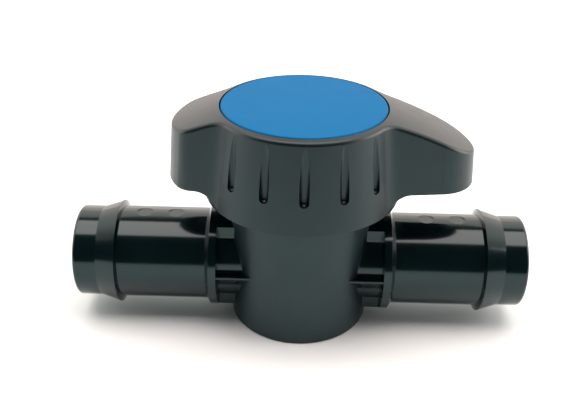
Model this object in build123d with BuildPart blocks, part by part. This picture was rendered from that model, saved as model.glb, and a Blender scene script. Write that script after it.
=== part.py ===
"""Quarter-turn ball valve with two barbed hose tails and a wing handle.

Millimetres, +Z up. The origin is the middle of the flat base. The flow axis runs along X at the
height axis_z, and the stem turns about Z. The valve is open, with its long wing towards +X.
"""
from build123d import *
from math import asin, copysign, cos, degrees, radians, sin
import os

os.makedirs("parts", exist_ok=True)

# ---- Driving dimensions ----------------------------------------------------------------------
axis_z = 16.2              # height of the flow axis above the base

# Barrel and its inside
barrel_r = 18.7
barrel_top = 44.0
mouth_r = 16.2             # round mouth that takes the bonnet
ledge_z = 33.0             # ledge under the bonnet
pocket_x = 10.8            # half-length of the pocket, along the flow
pocket_r = 13.3            # half-width round the ball, and radius of the round floor
base_edge = 0.3

# Hose tails, measured along the flow from the stem axis
tube_r = 12.5
bore_r = 9.6
nose_r = 12.3
tail_end = 60.0
nose_round = 0.9
barb_front = 53.8
barb_peak = 48.6
barb_back = 48.1
barb_r = 14.0
collar_foot = 25.0
collar_out = 24.0
collar_in = 22.0
neck_r = 11.2
land_half = 6.8            # half-width of the flat lands above and below the neck
land_r = 13.97
land_end = 23.0            # the lands and the blade run into the collars this far
blade_half = 13.7          # half-width of the horizontal blade through the neck
blade_top = 0.95           # its flat top, above the flow axis
blade_t = 0.6              # thickness at its edge
blade_foot = (9.9, -4.2)   # half-width and height where its sloping underside meets the neck
mark_r = 2.1               # shallow round mould marks on top of each tail
mark_depth = 0.2
mark_places = (33.6, 42.0)

# Ball and seats
ball_r = 13.0
port_r = 9.0
slot_w = 5.0
slot_floor = 26.7
running_gap = 0.05
seat_face = 6.6            # the seat ring starts this far from the stem axis
seat_r = 11.9
seat_oring_r = 10.4
seat_oring_t = 0.75        # radius of the O-ring's own section
groove_gap = 0.04          # play of an O-ring in its groove

# Stem
shaft_r = 6.2
collar_r = 8.6
collar_low = 29.6
collar_high = 31.4
tang_w = 4.8
tang_len = 12.0
tang_low = 26.9
shoulder_z = 44.6
stem_top = 53.6
square = 8.4               # across the flats of the drive
square_round = 0.8
oring_t = 0.9
oring_heights = (35.2, 38.6)
groove_w = 2.2
screw_hole_r = 1.6
screw_hole_low = 44.8

# Bonnet and what holds it
bonnet_top = 40.1
bonnet_boss_r = 9.2
bonnet_boss_top = 43.0
plug_low = 25.0
fit_gap = 0.1
ball_room = 0.4
collar_room_r = 8.9
collar_room_top = 32.3
bonnet_oring_t = 0.95
bonnet_oring_z = 36.2
circlip_t = 1.1
circlip_z = 40.2
circlip_r = 17.0
circlip_in = 14.4
circlip_gap = 50.0         # degrees left open between the two ears
ear_r = 2.0
ear_hole_r = 0.8

# Quarter-turn stops, angles in degrees about the stem
turn = 90.0
rib_azimuth = 135.0
rib_t = 3.0
stop_r = 17.45             # middle radius of the stop posts
stop_t = 1.3               # their radial thickness
stop_h = 2.6
stop_span = 10.0
stop_play = 0.8

# Handle
skirt_z = 37.6
skirt_r = 25.4
wing_z = 41.8              # underside of the wings
hub_r = 22.7               # hub radius at the rim
rim_z = 60.8
crown = ((21.2, 60.8), (34.3, 55.6), (47.0, 48.3))    # radius and height of the top surface
long_tip_r = 10.8
long_tip_x = 33.7
wing_root = 14.7           # half-width that the long wing's sides aim for at the stem axis
short_tip = 34.7
short_corner = (29.7, 12.1)
short_root = 14.9
short_round = 5.5
wing_draft = 4.5           # degrees
root_round = 6.5           # concave round where a wing grows out of the hub
crest_round = 1.1
crest_low = 46.0           # every edge of the top surface is above this
wall = 2.3
recess_r = 21.25
recess_z = 58.5
deck_z = 56.2              # underside of the handle's top
flute_r = 1.2
flute_low = 44.7
flute_high = 59.4          # where a flute runs out to a point on the tapering hub
flute_pitch = 22.9         # degrees
flute_turn = 1.1           # degrees that each row of flutes is turned towards the long wing
flute_reach = 2            # flutes each side of the middle one, front and back
inner_hub = ((23.2, 37.6), (20.6, 43.6), (20.3, 56.2))  # radius and height inside the hub
boss_r = 11.0
boss_low = 44.65
socket = 8.6
rib_low = 45.2
web_low = 53.9
web_high = 56.0
well_r = 8.8
screw_clear_r = 2.0
spine_t = 2.0              # rib along each wing
spine_low = 47.5

# Cap, screw and washer
cap_r = 20.9
cap_top = 60.95
cap_low = 58.6
cap_round = 0.45
spigot_in = 7.2
spigot_out = 8.7
spigot_low = 56.5
washer_r = 5.5
washer_in = 2.0
washer_t = 0.8
screw_r = 1.55
screw_head_r = 3.6
screw_head_h = 1.6
screw_tip = 45.6
recess_arm = 4.0           # length and width of the cross in the screw's head
recess_arm_w = 0.9

flow_axis = Axis((0, 0, axis_z), (1, 0, 0))
sides = (("left", -1), ("right", 1))


def finish(piece, name):
    """Labels one finished piece and writes its STEP file."""
    piece.part.label = name
    export_step(piece.part, f"parts/{name}.step")
    print(name, round(piece.part.volume), "mm3")


def trough(half_length, radius, top):
    """Open-topped trough along the flow, with a round floor about the flow axis."""
    with BuildPart() as shape:
        with BuildSketch(Plane.YZ.offset(-half_length)):
            with Locations((0, axis_z)):
                Circle(radius)
                Rectangle(2 * radius, top - axis_z, align=(Align.CENTER, Align.MIN))
        extrude(amount=2 * half_length)
    return shape.part


# ---- Body ------------------------------------------------------------------------------------
with BuildPart() as cavity:
    add(trough(seat_face, pocket_r, ledge_z))
    add(trough(pocket_x, seat_r + fit_gap, ledge_z))
    with BuildSketch(Plane.XY.offset(ledge_z)):
        Circle(mouth_r)
    extrude(amount=barrel_top - ledge_z + 1)
    with BuildSketch(Plane.XY.offset(circlip_z)):
        Circle(circlip_r + fit_gap)
    extrude(amount=circlip_t + fit_gap)
    with Locations((0, 0, axis_z)):
        Cylinder(bore_r, 2 * tail_end + 1, rotation=(0, 90, 0))

with BuildPart() as valve_body:
    with BuildSketch():
        Circle(barrel_r)
    extrude(amount=barrel_top)
    chamfer(valve_body.edges().group_by(Axis.Z)[0], base_edge)

    # Both tails as one turned profile.
    with BuildSketch(Plane.XZ):
        with BuildLine():
            Polyline(
                (0, axis_z), (0, axis_z + neck_r), (collar_in, axis_z + neck_r),
                (collar_in, axis_z + barb_r), (collar_out, axis_z + barb_r),
                (collar_foot, axis_z + tube_r), (barb_back, axis_z + tube_r),
                (barb_peak, axis_z + barb_r), (barb_front, axis_z + nose_r),
                (tail_end - nose_round, axis_z + nose_r),
            )
            RadiusArc((tail_end - nose_round, axis_z + nose_r),
                      (tail_end, axis_z + nose_r - nose_round), nose_round)
            Polyline((tail_end, axis_z + nose_r - nose_round), (tail_end, axis_z), (0, axis_z))
        make_face()
        mirror(about=Plane.YZ)
    revolve(axis=flow_axis)

    # Flat lands above and below the neck, nearly flush with the collars, and the thin blade.
    with BuildSketch(Plane.YZ.offset(-land_end)):
        with Locations((0, axis_z)):
            Circle(land_r)
            Rectangle(2 * land_half, 2 * barb_r, mode=Mode.INTERSECT)
            Polygon((blade_half, blade_top), (-blade_half, blade_top),
                    (-blade_half, blade_top - blade_t), (-blade_foot[0], blade_foot[1]),
                    blade_foot, (blade_half, blade_top - blade_t), align=None)
    extrude(amount=2 * land_end)

    # Mould marks on top of the tubes.
    with Locations(*[(side * x, 0, axis_z + tube_r) for _, side in sides for x in mark_places]):
        Cylinder(mark_r, 2 * mark_depth, mode=Mode.SUBTRACT)

    add(cavity.part, mode=Mode.SUBTRACT)

    # Two posts on the rim that stop the handle's rib at open and at closed.
    post_offset = degrees((rib_t / 2 + stop_t / 2 + stop_play) / stop_r)
    post_starts = (rib_azimuth + post_offset, rib_azimuth - turn - post_offset - stop_span)
    with BuildSketch(Plane.XY.offset(barrel_top)):
        for start in post_starts:
            SlotArc(CenterArc((0, 0), stop_r, start, stop_span), stop_t)
    extrude(amount=stop_h)
finish(valve_body, "valve_body")

# ---- Seats -----------------------------------------------------------------------------------
def seat_profile(side):
    """Half section of one seat ring: concave towards the ball, grooved at the back."""
    contact_r = ball_r + running_gap
    face_x = side * seat_face
    back_x = side * (pocket_x - running_gap)
    outer_touch = (contact_r ** 2 - seat_face ** 2) ** 0.5
    inner_touch = (contact_r ** 2 - port_r ** 2) ** 0.5
    middle_r = (outer_touch + port_r) / 2
    middle_x = side * (contact_r ** 2 - middle_r ** 2) ** 0.5
    groove = seat_oring_t + groove_gap
    groove_x = back_x - side * 2 * groove
    with BuildSketch(Plane.XZ) as section:
        with BuildLine():
            ThreePointArc((face_x, axis_z + outer_touch), (middle_x, axis_z + middle_r),
                          (side * inner_touch, axis_z + port_r))
            Polyline(
                (side * inner_touch, axis_z + port_r), (back_x, axis_z + port_r),
                (back_x, axis_z + seat_oring_r - groove), (groove_x, axis_z + seat_oring_r - groove),
                (groove_x, axis_z + seat_oring_r + groove), (back_x, axis_z + seat_oring_r + groove),
                (back_x, axis_z + seat_r), (face_x, axis_z + seat_r),
                (face_x, axis_z + outer_touch),
            )
        make_face()
    return section.sketch


for side_name, side in sides:
    with BuildPart() as seat_ring:
        add(seat_profile(side))
        revolve(axis=flow_axis)
    finish(seat_ring, f"seat_ring_{side_name}")

    with BuildPart() as seat_oring:
        with Locations((side * (pocket_x - running_gap - seat_oring_t), 0, axis_z)):
            Torus(seat_oring_r, seat_oring_t, rotation=(0, 90, 0))
    finish(seat_oring, f"seat_oring_{side_name}")

# ---- Ball ------------------------------------------------------------------------------------
with BuildPart() as ball:
    with Locations((0, 0, axis_z)):
        Sphere(ball_r)
        Cylinder(port_r, 2 * ball_r, rotation=(0, 90, 0), mode=Mode.SUBTRACT)
    with BuildSketch(Plane.XY.offset(slot_floor)):
        Rectangle(slot_w, 2 * ball_r)
    extrude(amount=ball_r, mode=Mode.SUBTRACT)
finish(ball, "ball")

# ---- Stem and its seals ----------------------------------------------------------------------
oring_r = shaft_r - oring_t            # an O-ring just reaches the bonnet's bore
groove_floor = oring_r - oring_t - groove_gap
with BuildPart() as stem:
    with BuildSketch(Plane.XY.offset(tang_low)):
        Rectangle(tang_w, tang_len)
    extrude(amount=collar_low - tang_low)
    with BuildSketch(Plane.XY.offset(collar_low)):
        Circle(collar_r)
    extrude(amount=collar_high - collar_low)
    with BuildSketch(Plane.XY.offset(collar_high)):
        Circle(shaft_r)
    extrude(amount=shoulder_z - collar_high)
    with BuildSketch(Plane.XY.offset(shoulder_z)):
        RectangleRounded(square, square, square_round)
    extrude(amount=stem_top - shoulder_z)
    for height in oring_heights:
        with BuildSketch(Plane.XY.offset(height - groove_w / 2)):
            Circle(shaft_r)
            Circle(groove_floor, mode=Mode.SUBTRACT)
        extrude(amount=groove_w, mode=Mode.SUBTRACT)
    with BuildSketch(Plane.XY.offset(screw_hole_low)):
        Circle(screw_hole_r)
    extrude(amount=stem_top - screw_hole_low, mode=Mode.SUBTRACT)
finish(stem, "stem")

for place, height in zip(("lower", "upper"), oring_heights):
    with BuildPart() as stem_oring:
        with Locations((0, 0, height)):
            Torus(oring_r, oring_t)
    finish(stem_oring, f"stem_oring_{place}")

with BuildPart() as thrust_washer:
    with BuildSketch(Plane.XY.offset(collar_room_top - washer_t)):
        Circle(collar_r)
        Circle(shaft_r + fit_gap, mode=Mode.SUBTRACT)
    extrude(amount=washer_t)
finish(thrust_washer, "thrust_washer")

# ---- Bonnet and its seal and circlip ---------------------------------------------------------
bonnet_r = mouth_r - running_gap
bonnet_oring_r = mouth_r - bonnet_oring_t
with BuildPart() as bonnet:
    with BuildSketch(Plane.XY.offset(ledge_z)):
        Circle(bonnet_r)
    extrude(amount=bonnet_top - ledge_z)
    with BuildSketch(Plane.XY.offset(bonnet_top)):
        Circle(bonnet_boss_r)
    extrude(amount=bonnet_boss_top - bonnet_top)
    with BuildSketch(Plane.XY.offset(plug_low)):
        Rectangle(2 * (pocket_x - fit_gap), 2 * seat_r)
        Rectangle(2 * (seat_face - fit_gap), 2 * (pocket_r - fit_gap))
    extrude(amount=ledge_z - plug_low)
    # Saddle over the seat rings, and room for the ball and the stem's collar.
    with Locations((0, 0, axis_z)):
        Cylinder(seat_r + fit_gap, 2 * pocket_x, rotation=(0, 90, 0), mode=Mode.SUBTRACT)
        Sphere(ball_r + ball_room, mode=Mode.SUBTRACT)
    with BuildSketch(Plane.XY.offset(plug_low)):
        Circle(collar_room_r)
    extrude(amount=collar_room_top - plug_low, mode=Mode.SUBTRACT)
    with BuildSketch(Plane.XY.offset(collar_room_top)):
        Circle(shaft_r + running_gap)
    extrude(amount=bonnet_boss_top - collar_room_top, mode=Mode.SUBTRACT)
    bonnet_groove = bonnet_oring_t + groove_gap
    with BuildSketch(Plane.XY.offset(bonnet_oring_z - bonnet_groove)):
        Circle(mouth_r)
        Circle(bonnet_oring_r - bonnet_groove, mode=Mode.SUBTRACT)
    extrude(amount=2 * bonnet_groove, mode=Mode.SUBTRACT)
finish(bonnet, "bonnet")

with BuildPart() as bonnet_oring:
    with Locations((0, 0, bonnet_oring_z)):
        Torus(bonnet_oring_r, bonnet_oring_t)
finish(bonnet_oring, "bonnet_oring")

# The circlip is an open ring with an eared hole at each end.
ring_middle = (circlip_r + circlip_in) / 2
ear_centres = [
    ((circlip_in - ear_r / 2) * cos(radians(angle)), (circlip_in - ear_r / 2) * sin(radians(angle)))
    for angle in (-90 - circlip_gap / 2, -90 + circlip_gap / 2)
]
with BuildPart() as bonnet_circlip:
    with BuildSketch(Plane.XY.offset(circlip_z + fit_gap / 2)):
        SlotArc(CenterArc((0, 0), ring_middle, -90 + circlip_gap / 2, 360 - circlip_gap),
                circlip_r - circlip_in)
        with Locations(*ear_centres):
            Circle(ear_r)
            Circle(ear_hole_r, mode=Mode.SUBTRACT)
    extrude(amount=circlip_t)
finish(bonnet_circlip, "bonnet_circlip")

# ---- Handle ----------------------------------------------------------------------------------
def wing_plan(tip_arc, root, inset, corner_round=0.0):
    """Plan of one wing from the stem axis out to its tip arc, drawn in by inset."""
    start, middle, end = tip_arc
    with BuildSketch() as plan:
        with BuildLine():
            ThreePointArc(start, middle, end)
            Polyline(end, (0, copysign(root, end[1])), (0, copysign(root, start[1])), start)
        make_face()
        if corner_round:
            corners = [v for v in plan.vertices() if abs(abs(v.X) - abs(start[0])) < 0.01]
            fillet(corners, corner_round)
        if inset:
            offset(amount=-inset, mode=Mode.REPLACE)
    return plan.sketch


def wings(inset, low):
    """Both drafted wings from the level low upwards, with their plan drawn in by inset."""
    lean = asin((wing_root - long_tip_r) / long_tip_x)
    touch = (long_tip_x + long_tip_r * sin(lean), long_tip_r * cos(lean))
    long_arc = ((touch[0], -touch[1]), (long_tip_x + long_tip_r, 0), touch)
    corner_x, corner_y = short_corner
    short_arc = ((-corner_x, corner_y), (-short_tip, 0), (-corner_x, -corner_y))
    with BuildPart() as shape:
        for plan in (wing_plan(long_arc, wing_root / cos(lean), inset),
                     wing_plan(short_arc, short_root, inset, short_round)):
            with BuildSketch(Plane.XY.offset(low)):
                add(plan)
            extrude(amount=rim_z - low, taper=wing_draft)
    return shape.part


def under_crown(drop, flat_z):
    """Everything under the top surface lowered by drop, and under the level flat_z."""
    with BuildPart() as shape:
        with BuildSketch(Plane.XZ):
            with BuildLine():
                top = ThreePointArc(*[(radius, height - drop) for radius, height in crown])
                start, end = top @ 0, top @ 1
                Polyline(start, (0, start.Y), (0, skirt_z), (end.X, skirt_z), end)
            make_face()
        revolve(axis=Axis.Z)
        with BuildSketch(Plane.XY.offset(flat_z)):
            Circle(2 * skirt_r)
        extrude(amount=rim_z, mode=Mode.SUBTRACT)
    return shape.part


def hub_radius(height):
    """Radius of the tapering hub at a height."""
    return skirt_r - (skirt_r - hub_r) * (height - skirt_z) / (rim_z - skirt_z)


def is_upright(edge):
    """True where an edge climbs more than it runs."""
    return abs((edge % 0.5).Z) > 0.7


def is_crown_seam(edge):
    """True for the edges inside the top surface: its seam and its inner circle."""
    middle = edge @ 0.5
    return abs(middle.Y) < 0.01 and abs(middle.X) < long_tip_x or edge.length > 5 * recess_r


# What the handle is hollowed by: the inside of hub and wings, less the boss and the ribs.
with BuildPart() as handle_hollow:
    with BuildSketch(Plane.XZ):
        with BuildLine():
            Polyline((0, skirt_z), *inner_hub, (0, inner_hub[-1][1]), (0, skirt_z))
        make_face()
    revolve(axis=Axis.Z)
    add(wings(wall, wing_z))
    add(under_crown(wall, deck_z), mode=Mode.INTERSECT)
    with BuildSketch(Plane.XY.offset(boss_low)):
        Circle(boss_r)
    extrude(amount=rim_z - boss_low, mode=Mode.SUBTRACT)
    with BuildSketch(Plane.XY.offset(spine_low)):
        Rectangle(2 * (long_tip_x + long_tip_r), spine_t)
        Rectangle(spine_t, 2 * skirt_r)
    extrude(amount=rim_z - spine_low, mode=Mode.SUBTRACT)
    with BuildSketch(Plane.XY.offset(rib_low)):
        with PolarLocations(skirt_r / 2, 1, rib_azimuth):
            Rectangle(skirt_r, rib_t)
    extrude(amount=rim_z - rib_low, mode=Mode.SUBTRACT)

with BuildPart() as handle:
    with BuildSketch(Plane.XZ):
        with BuildLine():
            Polyline((0, skirt_z), (skirt_r, skirt_z), (hub_r, rim_z), (0, rim_z), (0, skirt_z))
        make_face()
    revolve(axis=Axis.Z)
    add(wings(0, skirt_z))
    webs = [edge for edge in handle.edges() if edge.geom_type == GeomType.HYPERBOLA]
    fillet(webs, root_round)
    # The wings' underside is level and sweeps down to the skirt in a concave round.
    with BuildSketch(Plane.XZ):
        with BuildLine():
            sweep_r = wing_z - skirt_z
            RadiusArc((skirt_r, skirt_z), (skirt_r + sweep_r, wing_z), sweep_r)
            Polyline((skirt_r + sweep_r, wing_z), (2 * skirt_r, wing_z), (2 * skirt_r, skirt_z - 1),
                     (skirt_r, skirt_z - 1), (skirt_r, skirt_z))
        make_face()
    revolve(axis=Axis.Z, mode=Mode.SUBTRACT)
    add(under_crown(0, rim_z), mode=Mode.INTERSECT)
    crest = [edge for edge in handle.edges()
             if (edge @ 0.5).Z > crest_low and not is_upright(edge) and not is_crown_seam(edge)]
    fillet(crest, crest_round)

    # Flutes: grooves of round section, parallel to the stem, that run out below the rim.
    flute_axis_r = hub_radius(flute_high) + flute_r
    for facing in (flute_turn - 90, 90 - flute_turn):
        with PolarLocations(flute_axis_r, 2 * flute_reach + 1, facing - flute_reach * flute_pitch,
                            2 * flute_reach * flute_pitch, endpoint=True):
            with Locations((0, 0, flute_low + flute_r)):
                Sphere(flute_r, mode=Mode.SUBTRACT)
                Cylinder(flute_r, rim_z, align=(Align.CENTER, Align.CENTER, Align.MIN),
                         mode=Mode.SUBTRACT)

    add(handle_hollow.part, mode=Mode.SUBTRACT)

    # Drive socket, screw web, the well over it and the recess for the cap.
    with BuildSketch(Plane.XY.offset(boss_low)):
        RectangleRounded(socket, socket, square_round)
    extrude(amount=web_low - boss_low, mode=Mode.SUBTRACT)
    for radius, low, high in ((screw_clear_r, web_low, web_high), (well_r, web_high, recess_z),
                              (recess_r, recess_z, rim_z + 1)):
        with BuildSketch(Plane.XY.offset(low)):
            Circle(radius)
        extrude(amount=high - low, mode=Mode.SUBTRACT)
finish(handle, "handle")

# ---- Washer, screw and cap -------------------------------------------------------------------
with BuildPart() as handle_washer:
    with BuildSketch(Plane.XY.offset(web_high)):
        Circle(washer_r)
        Circle(washer_in, mode=Mode.SUBTRACT)
    extrude(amount=washer_t)
finish(handle_washer, "handle_washer")

head_low = web_high + washer_t
with BuildPart() as handle_screw:
    with BuildSketch(Plane.XY.offset(screw_tip)):
        Circle(screw_r)
    extrude(amount=head_low - screw_tip)
    with BuildSketch(Plane.XY.offset(head_low)):
        Circle(screw_head_r)
    extrude(amount=screw_head_h)
    fillet(handle_screw.edges().group_by(Axis.Z)[-1], screw_head_h / 3)
    with BuildSketch(Plane.XY.offset(head_low + screw_head_h / 3)):
        Rectangle(recess_arm, recess_arm_w)
        Rectangle(recess_arm_w, recess_arm)
    extrude(amount=screw_head_h, mode=Mode.SUBTRACT)
finish(handle_screw, "handle_screw")

with BuildPart() as handle_cap:
    with BuildSketch(Plane.XY.offset(cap_low)):
        Circle(cap_r)
    extrude(amount=cap_top - cap_low)
    fillet(handle_cap.edges().group_by(Axis.Z)[-1], cap_round)
    with BuildSketch(Plane.XY.offset(spigot_low)):
        Circle(spigot_out)
        Circle(spigot_in, mode=Mode.SUBTRACT)
    extrude(amount=cap_low - spigot_low)
finish(handle_cap, "handle_cap")
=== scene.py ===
"""Finishes, studio and camera for a quarter-turn ball valve with barbed hose tails and a wing handle.

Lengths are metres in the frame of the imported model: the origin is the middle of the flat base, X is
the flow axis and +Z runs up the stem. The moulded shapes come from the model. This file gives every
piece its finish, and sets the valve on a pale table under soft studio light.
"""

import logging
import math
from dataclasses import dataclass, field
from enum import Enum

import bpy
import numpy as np
from mathutils import Matrix, Vector


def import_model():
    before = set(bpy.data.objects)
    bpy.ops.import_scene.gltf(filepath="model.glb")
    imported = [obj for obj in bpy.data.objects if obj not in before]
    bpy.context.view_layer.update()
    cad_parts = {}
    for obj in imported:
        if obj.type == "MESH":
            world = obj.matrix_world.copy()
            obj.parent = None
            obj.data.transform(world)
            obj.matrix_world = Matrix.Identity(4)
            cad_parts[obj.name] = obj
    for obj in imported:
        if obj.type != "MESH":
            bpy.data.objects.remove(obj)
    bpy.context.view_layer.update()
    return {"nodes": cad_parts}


LOG = logging.getLogger("ball_valve")
MM = 0.001

Colour = tuple[float, float, float]
Point = tuple[float, float, float]

# Tint of the black plastic's reflections where it is seen straight on.
COOL: Colour = (0.70, 0.98, 1.0)
# The middle of a noise's range, where a drift from one colour to the other happens.
DRIFT = (0.35, 0.65)
# Phase, in radians, that the wave texture turns through in one unit of scaled distance.
WAVE_PHASE = 20.0


class Polish(Enum):
    """How far a tool steel was finished before it was moulded against."""

    SPARKED = "sparked"
    POLISHED = "polished"


@dataclass
class Graph:
    """A material's node tree, with short methods that add the nodes a finish is made of."""

    tree: bpy.types.NodeTree

    def add(self, kind: str, **values: object) -> bpy.types.Node:
        """Adds one node and sets properties of it.

        Args:
            kind: the node's type name, without its ShaderNode prefix.
            **values: properties of the node and their values.

        Returns:
            The new node.
        """
        node = self.tree.nodes.new("ShaderNode" + kind)
        for name, value in values.items():
            setattr(node, name, value)
        return node

    def link(self, source: bpy.types.NodeSocket, target: bpy.types.NodeSocket) -> None:
        """Joins an output socket to an input socket."""
        self.tree.links.new(source, target)

    def feed(self, socket: bpy.types.NodeSocket, value: object) -> None:
        """Links a socket to another, or sets it to a number or a colour.

        Args:
            socket: the input to fill.
            value: an output socket, a number or a colour.
        """
        if isinstance(value, bpy.types.NodeSocket):
            self.link(value, socket)
        else:
            socket.default_value = value

    def place(self) -> bpy.types.NodeSocket:
        """Returns the point on the piece, in metres of the model's frame."""
        return self.add("TexCoord").outputs["Object"]

    def stretched(self, scale: Point) -> bpy.types.NodeSocket:
        """Returns the point with each coordinate multiplied by its own factor.

        Args:
            scale: the three factors.
        """
        mapping = self.add("Mapping")
        mapping.inputs["Scale"].default_value = scale
        self.link(self.place(), mapping.inputs["Vector"])
        return mapping.outputs["Vector"]

    def noise(self, size: float, detail: float = 2.0,
              scale: Point | None = None) -> bpy.types.NodeSocket:
        """Soft noise with features of about one size.

        Args:
            size: the size of a feature, in metres.
            detail: octaves of finer noise on top.
            scale: stretch of the coordinates, for streaks.

        Returns:
            The noise as a number from 0 to 1.
        """
        node = self.add("TexNoise")
        node.inputs["Scale"].default_value = 1.0 / size
        node.inputs["Detail"].default_value = detail
        self.link(self.stretched(scale) if scale else self.place(), node.inputs["Vector"])
        return node.outputs["Fac"]

    def math(self, operation: str, first: object, second: object) -> bpy.types.NodeSocket:
        """Returns the result of one arithmetic operation.

        Args:
            operation: the Math node's operation.
            first: the first socket or number.
            second: the second socket or number.
        """
        node = self.add("Math", operation=operation)
        self.feed(node.inputs[0], first)
        self.feed(node.inputs[1], second)
        return node.outputs[0]

    def ramp(self, value: object, low: float, high: float,
             to_low: float, to_high: float) -> bpy.types.NodeSocket:
        """Carries a number smoothly from one range to another, held at its ends.

        Args:
            value: the socket to read.
            low: the value that gives to_low.
            high: the value that gives to_high.
            to_low: the result at low and under it.
            to_high: the result at high and over it.

        Returns:
            The carried number.
        """
        node = self.add("MapRange", interpolation_type="SMOOTHSTEP")
        self.feed(node.inputs["Value"], value)
        limits = {"From Min": low, "From Max": high, "To Min": to_low, "To Max": to_high}
        for name, number in limits.items():
            node.inputs[name].default_value = number
        return node.outputs["Result"]

    def blend(self, share: object, first: object, second: object) -> bpy.types.NodeSocket:
        """Mixes two colours.

        Args:
            share: the second colour's share, from 0 to 1.
            first: the colour at 0, or a socket that gives it.
            second: the colour at 1, or a socket that gives it.

        Returns:
            The mixed colour.
        """
        node = self.add("Mix", data_type="RGBA")
        self.feed(node.inputs[0], share)
        for socket, colour in ((node.inputs[6], first), (node.inputs[7], second)):
            self.feed(socket, (*colour, 1.0) if isinstance(colour, tuple) else colour)
        return node.outputs[2]

    def distance_from_stem(self) -> bpy.types.NodeSocket:
        """Returns the level distance from the stem axis: the length of the point without its z."""
        length = self.add("VectorMath", operation="LENGTH")
        self.link(self.stretched((1.0, 1.0, 0.0)), length.inputs[0])
        return length.outputs["Value"]

    def edge_normal(self, radius: float) -> bpy.types.NodeSocket:
        """Returns the normal with sharp edges rounded to a small radius.

        Args:
            radius: the edge's radius, in metres.
        """
        node = self.add("Bevel", samples=4)
        node.inputs["Radius"].default_value = radius
        return node.outputs["Normal"]

    def bump(self, height: object, depth: float, normal: object = None) -> bpy.types.NodeSocket:
        """Raises and sinks the surface by a height.

        Args:
            height: a socket from 0 to 1.
            depth: how far the surface moves between 0 and 1, in metres.
            normal: the normal to start from, or None for the surface's own.

        Returns:
            The changed normal.
        """
        node = self.add("Bump")
        node.inputs["Distance"].default_value = depth
        self.feed(node.inputs["Height"], height)
        if normal is not None:
            self.link(normal, node.inputs["Normal"])
        return node.outputs["Normal"]


@dataclass(frozen=True)
class Finish:
    """What every finish has: a name and the base of its shader."""

    name: str
    dark: Colour
    light: Colour
    roughness: float
    ior: float = 1.5
    specular: float = 0.5
    tint: Colour = (1.0, 1.0, 1.0)
    metallic: float = 0.0

    def start(self) -> tuple[bpy.types.Material, Graph, bpy.types.Node]:
        """Makes the material and its shader, with the values that are the same all over.

        Returns:
            The material, its graph and its shader node.
        """
        material = bpy.data.materials.new(self.name)
        material.use_nodes = True
        graph = Graph(material.node_tree)
        shader = next(node for node in material.node_tree.nodes if node.type == "BSDF_PRINCIPLED")
        shader.inputs["IOR"].default_value = self.ior
        shader.inputs["Specular IOR Level"].default_value = self.specular
        shader.inputs["Specular Tint"].default_value = (*self.tint, 1.0)
        shader.inputs["Metallic"].default_value = self.metallic
        return material, graph, shader


@dataclass(frozen=True)
class MouldedPlastic(Finish):
    """Plastic moulded against a sparked or a polished tool.

    The colour drifts in soft clouds. A sparked tool leaves a fine even pitting, and a polished one
    leaves slow waves and a little haze.
    """

    polish: Polish = Polish.SPARKED
    cloud: float = 9 * MM
    worn_size: float = 3.0 * MM
    worn_range: tuple[float, float] = (0.35, 0.70)
    grain: float = 0.28 * MM
    grain_depth: float = 0.010 * MM
    edge: float = 0.12 * MM
    scuff: float = 0.012

    def make(self) -> bpy.types.Material:
        """Builds the material.

        Returns:
            The finished material.
        """
        material, graph, shader = self.start()
        graph.link(graph.blend(self.clouds(graph), self.dark, self.light), shader.inputs["Base Color"])
        graph.link(self.satin(graph), shader.inputs["Roughness"])
        graph.link(self.surface(graph), shader.inputs["Normal"])
        return material

    def clouds(self, graph: Graph) -> bpy.types.NodeSocket:
        """Returns the light colour's share, which drifts over the piece.

        Args:
            graph: the material's graph.
        """
        return graph.ramp(graph.noise(self.cloud, 3.0), *DRIFT, 0.0, 1.0)

    def satin(self, graph: Graph) -> bpy.types.NodeSocket:
        """Returns the roughness, raised and lowered by handling.

        Args:
            graph: the material's graph.
        """
        worn = graph.ramp(graph.noise(self.worn_size, 4.0), *self.worn_range, -self.scuff, self.scuff)
        return graph.math("ADD", worn, self.roughness)

    def surface(self, graph: Graph) -> bpy.types.NodeSocket:
        """Returns the normal, with the tool's own texture and softened edges.

        Args:
            graph: the material's graph.
        """
        soft = graph.edge_normal(self.edge)
        if self.polish is Polish.SPARKED:
            return graph.bump(graph.noise(self.grain, 2.0), self.grain_depth, soft)
        return graph.bump(graph.noise(4.0 * MM, 1.0), self.grain_depth, soft)


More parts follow.
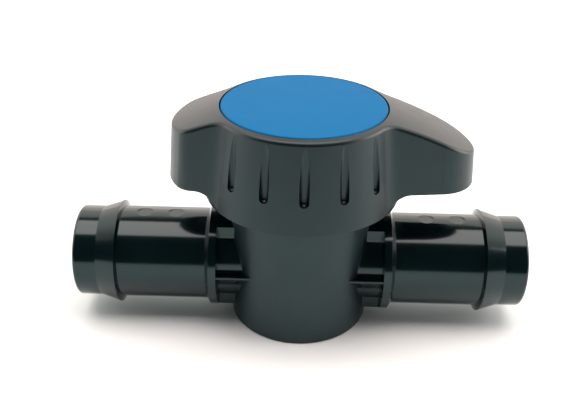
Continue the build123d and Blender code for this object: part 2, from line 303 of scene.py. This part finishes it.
@dataclass(frozen=True)
class BodyPlastic(MouldedPlastic):
    """The body's plastic: a satin barrel from a sparked tool, and tails from a polished one.

    The tails begin just outside the barrel's own surface, at a level distance from the stem axis.
    """

    tail_dark: Colour = (0.0010, 0.0052, 0.0064)
    tail_light: Colour = (0.0014, 0.0064, 0.0078)
    tail_roughness: float = 0.14
    haze_size: float = 0.9 * MM
    haze_range: float = 0.03
    wave_size: float = 5.0 * MM
    wave_depth: float = 0.012 * MM
    change_from: float = 18.76 * MM
    change_to: float = 18.95 * MM

    def make(self) -> bpy.types.Material:
        """Builds the material.

        Returns:
            The finished material.
        """
        material, graph, shader = self.start()
        tail = graph.ramp(graph.distance_from_stem(), self.change_from, self.change_to, 0.0, 1.0)
        barrel = graph.math("SUBTRACT", 1.0, tail)
        clouds = self.clouds(graph)
        graph.link(graph.blend(tail, graph.blend(clouds, self.dark, self.light),
                               graph.blend(clouds, self.tail_dark, self.tail_light)),
                   shader.inputs["Base Color"])

        haze = graph.noise(self.haze_size, 3.0, (0.25, 1.0, 1.0))
        polished = graph.math("ADD", graph.math("MULTIPLY", haze, self.haze_range),
                              self.tail_roughness - self.haze_range / 2)
        graph.link(graph.math("ADD", graph.math("MULTIPLY", self.satin(graph), barrel),
                              graph.math("MULTIPLY", polished, tail)), shader.inputs["Roughness"])

        grain = graph.math("MULTIPLY", graph.noise(self.grain, 2.0), barrel)
        pitted = graph.bump(grain, self.grain_depth, graph.edge_normal(self.edge))
        waves = graph.noise(self.wave_size, 1.0, (0.3, 1.0, 1.0))
        graph.link(graph.bump(waves, self.wave_depth, pitted), shader.inputs["Normal"])
        return material


@dataclass(frozen=True)
class TurnedMetal(Finish):
    """Metal with fine rings left by a tool about the stem axis.

    ring is the distance in which a ring's wave turns by one radian.
    """

    ring: float = 0.22 * MM
    ring_depth: float = 0.004 * MM
    ring_spread: float = 0.04

    def make(self) -> bpy.types.Material:
        """Builds the material. The rings are a wave in the distance from the stem axis.

        Returns:
            The finished material.
        """
        material, graph, shader = self.start()
        graph.link(graph.blend(graph.noise(2.0 * MM, 4.0), self.dark, self.light),
                   shader.inputs["Base Color"])
        rings = graph.add("TexWave", wave_type="RINGS", rings_direction="Z")
        rings.inputs["Scale"].default_value = 1.0 / (WAVE_PHASE * self.ring)
        rings.inputs["Distortion"].default_value = 0.6
        graph.link(graph.place(), rings.inputs["Vector"])
        spread = graph.ramp(rings.outputs["Fac"], 0.0, 1.0, -self.ring_spread, self.ring_spread)
        graph.link(graph.math("ADD", spread, self.roughness), shader.inputs["Roughness"])
        graph.link(graph.bump(rings.outputs["Fac"], self.ring_depth), shader.inputs["Normal"])
        return material


@dataclass(frozen=True)
class Rubber(Finish):
    """Seal rubber: dull, with a bloom of paler powder and a fine skin."""

    bloom_roughness: float = 0.15

    def make(self) -> bpy.types.Material:
        """Builds the material.

        Returns:
            The finished material.
        """
        material, graph, shader = self.start()
        bloom = graph.ramp(graph.noise(1.4 * MM, 5.0), 0.45, 0.75, 0.0, 1.0)
        graph.link(graph.blend(bloom, self.dark, self.light), shader.inputs["Base Color"])
        graph.link(graph.ramp(bloom, 0.0, 1.0, self.roughness, self.roughness + self.bloom_roughness),
                   shader.inputs["Roughness"])
        graph.link(graph.bump(graph.noise(0.15 * MM, 2.0), 0.006 * MM), shader.inputs["Normal"])
        return material


def dress(node: bpy.types.Object, material: bpy.types.Material) -> None:
    """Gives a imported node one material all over.

    Args:
        node: the node's object.
        material: its finish.
    """
    if not node.data.materials:
        node.data.materials.append(material)
    for slot in node.material_slots:
        slot.material = material


@dataclass
class Handle:
    """The wing handle, its inset cap, and what holds it on the stem."""

    plastic: MouldedPlastic = field(default_factory=lambda: MouldedPlastic(
        "handle_plastic", (0.001, 0.003, 0.006), (0.002, 0.005, 0.008), 0.36, tint=COOL,
        grain_depth=0.012 * MM))
    cap: MouldedPlastic = field(default_factory=lambda: MouldedPlastic(
        "cap_plastic", (0.0012, 0.114, 0.284), (0.0018, 0.118, 0.290), 0.50, specular=0.03,
        cloud=16 * MM, grain=0.35 * MM, grain_depth=0.004 * MM))
    steel: TurnedMetal = field(default_factory=lambda: TurnedMetal(
        "screw_steel", (0.50, 0.50, 0.51), (0.64, 0.64, 0.65), 0.28, metallic=1.0))

    def build(self, nodes: dict[str, bpy.types.Object]) -> list[str]:
        """Dresses the handle's nodes.

        Args:
            nodes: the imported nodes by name.

        Returns:
            The names of the nodes that were dressed.
        """
        steel = self.steel.make()
        finishes = {"handle": self.plastic.make(), "handle_cap": self.cap.make(),
                    "handle_screw": steel, "handle_washer": steel}
        for name, material in finishes.items():
            dress(nodes[name], material)
        return list(finishes)


@dataclass
class Body:
    """The body with its two tails, the bonnet and the clip that holds it."""

    plastic: BodyPlastic = field(default_factory=lambda: BodyPlastic(
        "body_plastic", (0.003, 0.010, 0.014), (0.005, 0.013, 0.017), 0.40, tint=COOL,
        grain_depth=0.010 * MM))
    bonnet: MouldedPlastic = field(default_factory=lambda: MouldedPlastic(
        "bonnet_plastic", (0.012, 0.013, 0.014), (0.017, 0.018, 0.019), 0.42))
    spring: TurnedMetal = field(default_factory=lambda: TurnedMetal(
        "spring_steel", (0.36, 0.36, 0.37), (0.50, 0.50, 0.51), 0.32, metallic=1.0))

    def build(self, nodes: dict[str, bpy.types.Object]) -> list[str]:
        """Dresses the body's nodes.

        Args:
            nodes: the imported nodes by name.

        Returns:
            The names of the nodes that were dressed.
        """
        finishes = {"valve_body": self.plastic.make(), "bonnet": self.bonnet.make(),
                    "bonnet_circlip": self.spring.make()}
        for name, material in finishes.items():
            dress(nodes[name], material)
        return list(finishes)


@dataclass
class Trim:
    """The ball, its seats, the stem and the seals."""

    ball: MouldedPlastic = field(default_factory=lambda: MouldedPlastic(
        "ball_plastic", (0.60, 0.60, 0.57), (0.68, 0.68, 0.65), 0.16, polish=Polish.POLISHED,
        grain_depth=0.006 * MM))
    seat: MouldedPlastic = field(default_factory=lambda: MouldedPlastic(
        "seat_plastic", (0.70, 0.70, 0.66), (0.78, 0.78, 0.74), 0.45, grain_depth=0.004 * MM))
    stem: MouldedPlastic = field(default_factory=lambda: MouldedPlastic(
        "stem_plastic", (0.024, 0.025, 0.026), (0.031, 0.032, 0.033), 0.38))
    rubber: Rubber = field(default_factory=lambda: Rubber(
        "seal_rubber", (0.010, 0.010, 0.010), (0.030, 0.030, 0.029), 0.55))

    def build(self, nodes: dict[str, bpy.types.Object]) -> list[str]:
        """Dresses the inner nodes: rings and washers by the start or end of their names.

        Args:
            nodes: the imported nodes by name.

        Returns:
            The names of the nodes that were dressed.
        """
        rubber, seat = self.rubber.make(), self.seat.make()
        finishes = {"ball": self.ball.make(), "stem": self.stem.make(), "thrust_washer": seat}
        finishes.update({name: rubber for name in nodes if "oring" in name})
        finishes.update({name: seat for name in nodes if name.startswith("seat_ring")})
        for name, material in finishes.items():
            dress(nodes[name], material)
        return sorted(finishes)


@dataclass
class Table:
    """A plain flat table, pale and dull, that reaches far outside the view."""

    reach: float = 14.0
    cells: int = 60
    drop: float = 0.02 * MM
    pale: Colour = (0.74, 0.90, 0.92)
    shade: Colour = (0.72, 0.88, 0.90)
    patch: float = 0.2

    def build(self) -> bpy.types.Object:
        """Builds the table as a square grid of points at one height, finer towards the middle.

        A point's x and y are its signed grid parameters cubed and multiplied by the reach.

        Returns:
            The table's object.
        """
        steps = np.linspace(-1.0, 1.0, self.cells + 1) ** 3 * self.reach
        x, y = np.meshgrid(steps, steps, indexing="ij")
        points = np.stack((x, y, np.full_like(x, -self.drop)), axis=-1).reshape(-1, 3)
        index = np.arange(points.shape[0]).reshape(x.shape)
        faces = np.stack((index[:-1, :-1], index[1:, :-1], index[1:, 1:], index[:-1, 1:]), axis=-1)
        mesh = bpy.data.meshes.new("table")
        mesh.from_pydata(points.tolist(), [], faces.reshape(-1, 4).tolist())
        mesh.materials.append(self.finish())
        table = bpy.data.objects.new("table", mesh)
        bpy.context.scene.collection.objects.link(table)
        return table

    def finish(self) -> bpy.types.Material:
        """Returns the table's dull pale finish."""
        material = bpy.data.materials.new("table_top")
        material.use_nodes = True
        graph = Graph(material.node_tree)
        shader = next(node for node in material.node_tree.nodes if node.type == "BSDF_PRINCIPLED")
        graph.link(graph.blend(graph.noise(self.patch, 3.0), self.shade, self.pale),
                   shader.inputs["Base Color"])
        shader.inputs["Roughness"].default_value = 0.9
        shader.inputs["Specular IOR Level"].default_value = 0.1
        return material


@dataclass
class Studio:
    """Soft light: a wide lamp overhead, one at each side, and a bright wall behind.

    The front is left dark. The right-hand lamp is the stronger.
    """

    lamp_height: float = 1.0
    lamp_length: float = 1.3
    lamp_width: float = 0.72
    lamp_power: float = 14.6
    side_lamp_place: Point = (0.60, 0.02, 0.20)
    side_lamp_size: float = 0.42
    left_lamp_power: float = 0.9
    right_lamp_power: float = 2.4
    warm: Colour = (1.12, 0.84, 0.79)
    wall: Colour = (2.15, 1.86, 1.72)
    wall_start: tuple[float, float] = (-0.50, 0.25)
    wall_stop: tuple[float, float] = (0.80, 0.86)
    gloom: Colour = (0.030, 0.036, 0.038)
    seen: Colour = (1.0, 1.0, 1.0)

    def build(self) -> None:
        """Builds the lamps and the surroundings."""
        x, y, z = self.side_lamp_place
        top = (self.lamp_length, self.lamp_width)
        side = (self.side_lamp_size, self.side_lamp_size)
        self.lamp("top_lamp", (0.0, 0.0, self.lamp_height), top, self.lamp_power)
        self.lamp("left_lamp", (-x, y, z), side, self.left_lamp_power)
        self.lamp("right_lamp", (x, y, z), side, self.right_lamp_power)
        self.surroundings()

    def lamp(self, name: str, place: Point, size: tuple[float, float], power: float) -> None:
        """Adds one rectangular lamp that faces the valve.

        Args:
            name: the lamp's name.
            place: its middle, in metres.
            size: its length and width, in metres.
            power: its power, in watts.
        """
        data = bpy.data.lights.new(name, "AREA")
        data.shape = "RECTANGLE"
        data.size, data.size_y = size
        data.energy, data.color = power, self.warm
        holder = bpy.data.objects.new(name, data)
        holder.location = place
        holder.rotation_euler = Vector(place).to_track_quat("Z", "Y").to_euler()
        bpy.context.scene.collection.objects.link(holder)
        LOG.info("%s at %s, %.1f W", name, place, power)

    def surroundings(self) -> None:
        """Makes the world: a wall of light towards +Y that stops short of overhead, gloom elsewhere.

        The wall's share is a smooth step in the direction's y, times one that ends before its z
        reaches overhead. What is seen directly is plain white.
        """
        world = bpy.data.worlds.new("studio")
        world.use_nodes = True
        bpy.context.scene.world = world
        graph = Graph(world.node_tree)
        graph.tree.nodes.clear()
        split = graph.add("SeparateXYZ")
        graph.link(graph.add("TexCoord").outputs["Generated"], split.inputs[0])
        behind = graph.ramp(split.outputs["Y"], *self.wall_start, 0.0, 1.0)
        under_lamp = graph.ramp(split.outputs["Z"], *self.wall_stop, 1.0, 0.0)
        light = graph.add("Background")
        graph.link(graph.blend(graph.math("MULTIPLY", behind, under_lamp), self.gloom, self.wall),
                   light.inputs["Color"])
        plain = graph.add("Background")
        plain.inputs["Color"].default_value = (*self.seen, 1.0)
        chosen = graph.add("MixShader")
        graph.link(graph.add("LightPath").outputs["Is Camera Ray"], chosen.inputs[0])
        graph.link(light.outputs[0], chosen.inputs[1])
        graph.link(plain.outputs[0], chosen.inputs[2])
        graph.link(chosen.outputs[0], graph.add("OutputWorld").inputs["Surface"])


@dataclass
class Camera:
    """A camera that looks down on the front of the valve, rolled slightly clockwise."""

    place: Point = (-1.47 * MM, -179.96 * MM, 133.37 * MM)
    aim: Point = (-3.046 * MM, 0.0, 33.377 * MM)
    roll: float = math.radians(1.253)
    lens: float = 47.97
    sensor: float = 36.0

    def build(self) -> bpy.types.Object:
        """Builds the camera and makes it the scene's own.

        Its right-hand axis is level, then turned about the line of sight by the roll.

        Returns:
            The camera's object.
        """
        sight = (Vector(self.aim) - Vector(self.place)).normalized()
        right = sight.cross(Vector((0.0, 0.0, 1.0))).normalized()
        up = right.cross(sight)
        side = right * math.cos(self.roll) + up * math.sin(self.roll)
        top = -right * math.sin(self.roll) + up * math.cos(self.roll)
        turned = Matrix((side, top, -sight)).transposed().to_4x4()
        data = bpy.data.cameras.new("camera")
        data.lens, data.sensor_width = self.lens, self.sensor
        data.clip_start, data.clip_end = 0.01, 100.0
        camera = bpy.data.objects.new("camera", data)
        camera.matrix_world = Matrix.Translation(self.place) @ turned
        bpy.context.scene.collection.objects.link(camera)
        bpy.context.scene.camera = camera
        return camera


def main() -> None:
    """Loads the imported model, dresses it, and sets up the table, the light and the camera."""
    logging.basicConfig(level=logging.INFO, format="%(name)s: %(message)s")
    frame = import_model()
    for part in (Body(), Handle(), Trim()):
        for name in part.build(frame["nodes"]):
            LOG.info("%s dressed: %s", type(part).__name__, name)
    Table().build()
    Studio().build()
    Camera().build()
    bpy.context.scene.view_settings.view_transform = "Standard"
    bpy.context.scene.view_settings.look = "None"


if __name__ == "__main__":
    main()
